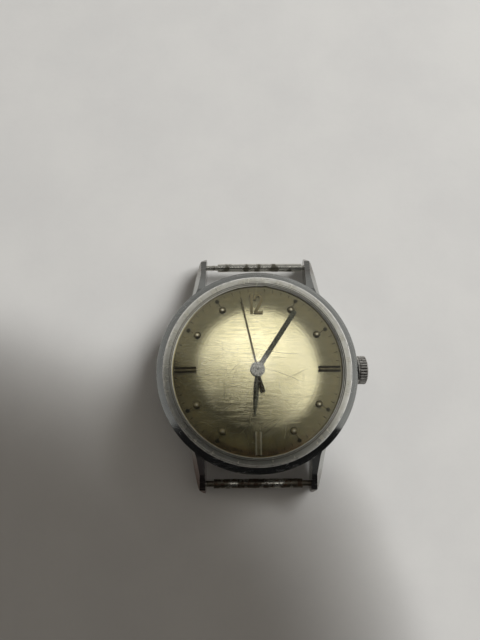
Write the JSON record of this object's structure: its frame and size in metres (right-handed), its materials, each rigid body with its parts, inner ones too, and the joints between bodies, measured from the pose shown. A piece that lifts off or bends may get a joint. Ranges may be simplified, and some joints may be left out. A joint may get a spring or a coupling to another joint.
{
  "type": "mechanical wristwatch head",
  "caption": "Hand-wound mechanical wristwatch head with centre seconds, domed crystal, ribbed crown and sprung bars between its lugs.",
  "frame": {"origin": "centre of the case back's flat outer face", "axes": "+Z out through the crystal, +Y towards 12 o'clock, +X towards the crown at 3 o'clock"},
  "size_m": [0.0371, 0.0414, 0.0102],
  "materials": {
    "case_chrome": "polished chrome plate over brass, worn and lightly scratched",
    "back_steel": "stainless steel snap back, brushed",
    "gasket": "matt black",
    "acrylic": "clear acrylic, polished, with hairline scratches",
    "reflector": "bright diamond-cut ring",
    "tube": "plain",
    "spacer": "turned",
    "dial": "champagne satin, lacquered, with small stains",
    "markers": "gilt, polished",
    "plate": "nickel-gilt, fine grained",
    "bridge": "rhodium-grey plated",
    "screw": "blued",
    "wheel": "gilt",
    "pinion": "polished steel",
    "spring": "tempered spring steel",
    "barrel": "turned brass",
    "crown": "dark worn nickel",
    "hand_gilt": "gilt, faceted",
    "hand_seconds": "gilt, darkened",
    "bar_steel": "old steel with rust specks"
  },
  "bodies": {
    "case": {"mid_case": "case_chrome", "case_back": "back_steel", "back_gasket": "gasket", "crystal": "acrylic", "reflector_ring": "reflector", "crown_tube": "tube", "movement_ring": "spacer", "dial": "dial", "hour_markers": "markers", "main_plate": "plate", "barrel_bridge": "bridge", "train_bridge": "bridge", "pallet_bridge": "bridge", "balance_cock": "bridge", "bridge_screws": "screw", "crown_wheel_screw": "screw", "click_spring": "spring", "setting_spring": "spring"},
    "barrel": {"barrel_drum": "barrel", "barrel_cover": "barrel", "mainspring": "spring"},
    "winding_arbor": {"barrel_arbor": "pinion", "ratchet_wheel": "pinion"},
    "crown_wheel": {"crown_wheel": "pinion"},
    "click": {"click": "pinion"},
    "centre": {"centre_wheel": "wheel", "centre_arbor": "pinion", "cannon_pinion": "pinion", "minute_hand": "hand_gilt"},
    "third": {"third_wheel": "wheel", "third_arbor": "pinion"},
    "fourth": {"fourth_wheel": "wheel", "fourth_arbor": "pinion", "seconds_hand": "hand_seconds"},
    "escape": {"escape_wheel": "wheel", "escape_arbor": "pinion"},
    "pallets": {"pallet_fork": "wheel", "pallet_arbor": "pinion"},
    "balance": {"balance_wheel": "wheel", "balance_staff": "pinion", "hairspring": "spring"},
    "regulator": {"regulator": "pinion"},
    "minute_wheel": {"minute_wheel": "wheel"},
    "hour": {"hour_wheel": "wheel", "hour_hand": "hand_gilt"},
    "setting_wheel": {"setting_wheel": "pinion"},
    "winding": {"winding_pinion": "pinion"},
    "stem": {"winding_stem": "pinion", "crown": "crown", "crown_gasket": "gasket"},
    "clutch": {"sliding_clutch": "pinion"},
    "setting_lever": {"setting_lever": "pinion"},
    "yoke": {"yoke": "pinion"},
    "bar_12": {"bar_12_tube": "bar_steel", "bar_12_spring": "spring"},
    "bar_12_tip": {"bar_12_tip": "bar_steel"},
    "bar_6": {"bar_6_tube": "bar_steel", "bar_6_spring": "spring"},
    "bar_6_left": {"bar_6_left_tip": "bar_steel"},
    "bar_6_right": {"bar_6_right_tip": "bar_steel"}
  },
  "joints": [
    {"name": "centre_wheel_turn", "type": "hinge", "parent": "case", "child": "centre", "pos_m": [0, 0, 0.003], "axis": [0, 0, 1], "continuous": true},
    {"name": "barrel_turn", "type": "hinge", "parent": "case", "child": "barrel", "pos_m": [0.00256, 0.00526, 0.0038], "axis": [0, 0, 1], "continuous": true, "deforming": ["mainspring"]},
    {"name": "third_wheel_turn", "type": "hinge", "parent": "case", "child": "third", "pos_m": [0.00116, -0.00435, 0.003], "axis": [0, 0, 1], "continuous": true},
    {"name": "fourth_wheel_turn", "type": "hinge", "parent": "case", "child": "fourth", "pos_m": [0, 0, 0.003], "axis": [0, 0, 1], "continuous": true},
    {"name": "escape_wheel_turn", "type": "hinge", "parent": "case", "child": "escape", "pos_m": [-0.00367, -0.00257, 0.0038], "axis": [0, 0, 1], "continuous": true},
    {"name": "minute_wheel_turn", "type": "hinge", "parent": "case", "child": "minute_wheel", "pos_m": [0.00226, -0.00158, 0.0051], "axis": [0, 0, 1], "continuous": true},
    {"name": "hour_wheel_turn", "type": "hinge", "parent": "case", "child": "hour", "pos_m": [0, 0, 0.0054], "axis": [0, 0, 1], "continuous": true},
    {"name": "setting_wheel_turn", "type": "hinge", "parent": "case", "child": "setting_wheel", "pos_m": [0.00529, -0.00091, 0.0046], "axis": [0, 0, 1], "continuous": true},
    {"name": "balance_swing", "type": "hinge", "parent": "case", "child": "balance", "pos_m": [-0.00763, 0.00204, 0.002], "axis": [0, 0, 1], "range_deg": [-25, 25], "stiffness_Nm_per_rad": 0.0000002, "deforming": ["hairspring"]},
    {"name": "pallet_fork_swing", "type": "hinge", "parent": "case", "child": "pallets", "pos_m": [-0.00533, -0.00064, 0.0036], "axis": [0, 0, 1], "range_deg": [-5.5, 5.5]},
    {"name": "regulator_turn", "type": "hinge", "parent": "case", "child": "regulator", "pos_m": [-0.00763, 0.00204, 0.00095], "axis": [0, 0, 1], "range_deg": [-20, 20]},
    {"name": "click_turn", "type": "hinge", "parent": "case", "child": "click", "pos_m": [-0.00229, 0.00806, 0.0013], "axis": [0, 0, 1], "range_deg": [-14, 0], "stiffness_Nm_per_rad": 0.00001, "springref_deg": 5.73},
    {"name": "crown_turn", "type": "hinge", "parent": "case", "child": "winding", "pos_m": [0.009, 0, 0.00308], "axis": [1, 0, 0], "continuous": true},
    {"name": "crown_wheel_turn", "type": "hinge", "parent": "case", "child": "crown_wheel", "pos_m": [0.00666, 0, 0.0013], "axis": [0, 0, 1], "continuous": true},
    {"name": "ratchet_turn", "type": "hinge", "parent": "case", "child": "winding_arbor", "pos_m": [0.00256, 0.00526, 0.0013], "axis": [0, 0, 1], "continuous": true},
    {"name": "crown_pull", "type": "slide", "parent": "winding", "child": "stem", "axis": [1, 0, 0], "range_m": [0, 0.0009]},
    {"name": "clutch_slide", "type": "slide", "parent": "winding", "child": "clutch", "axis": [1, 0, 0], "range_m": [-0.00035, 0]},
    {"name": "setting_lever_turn", "type": "hinge", "parent": "case", "child": "setting_lever", "pos_m": [0.0109, -0.0026, 0.0053], "axis": [0, 0, 1], "range_deg": [-20.5, 0]},
    {"name": "yoke_turn", "type": "hinge", "parent": "case", "child": "yoke", "pos_m": [0.0083, -0.0046, 0.0051], "axis": [0, 0, 1], "range_deg": [0, 4.5]},
    {"name": "bar_12_spin", "type": "hinge", "parent": "case", "child": "bar_12", "pos_m": [0, 0.01925, 0.0023], "axis": [1, 0, 0], "continuous": true},
    {"name": "bar_12_tip_press", "type": "slide", "parent": "bar_12", "child": "bar_12_tip", "axis": [1, 0, 0], "range_m": [0, 0.0011], "stiffness_N_per_m": 1500, "springref_m": -0.001, "deforming": ["bar_12_spring"]},
    {"name": "bar_6_spin", "type": "hinge", "parent": "case", "child": "bar_6", "pos_m": [0, -0.01925, 0.0023], "axis": [1, 0, 0], "continuous": true},
    {"name": "bar_6_left_press", "type": "slide", "parent": "bar_6", "child": "bar_6_left", "axis": [1, 0, 0], "range_m": [0, 0.0011], "stiffness_N_per_m": 1500, "springref_m": -0.001, "deforming": ["bar_6_spring"]},
    {"name": "bar_6_right_press", "type": "slide", "parent": "bar_6", "child": "bar_6_right", "axis": [-1, 0, 0], "range_m": [0, 0.0011], "stiffness_N_per_m": 1500, "springref_m": -0.001}
  ],
  "couplings": [
    {"joint": "barrel_turn", "follows": "centre_wheel_turn", "ratio": -0.15385},
    {"joint": "third_wheel_turn", "follows": "centre_wheel_turn", "ratio": -8},
    {"joint": "fourth_wheel_turn", "follows": "centre_wheel_turn", "ratio": 60},
    {"joint": "escape_wheel_turn", "follows": "centre_wheel_turn", "ratio": -600},
    {"joint": "minute_wheel_turn", "follows": "centre_wheel_turn", "ratio": -0.33333},
    {"joint": "hour_wheel_turn", "follows": "centre_wheel_turn", "ratio": 0.083333},
    {"joint": "setting_wheel_turn", "follows": "centre_wheel_turn", "ratio": 0.66667},
    {"joint": "crown_wheel_turn", "follows": "crown_turn", "ratio": 0.66667},
    {"joint": "ratchet_turn", "follows": "crown_turn", "ratio": -0.35714},
    {"joint": "clutch_slide", "follows": "crown_pull", "ratio": -0.38889},
    {"joint": "setting_lever_turn", "follows": "crown_pull", "rad_per_m": -392.74},
    {"joint": "yoke_turn", "follows": "crown_pull", "rad_per_m": 84.552},
    {"joint": "pallet_fork_swing", "follows": "balance_swing", "ratio": -0.204}
  ]
}
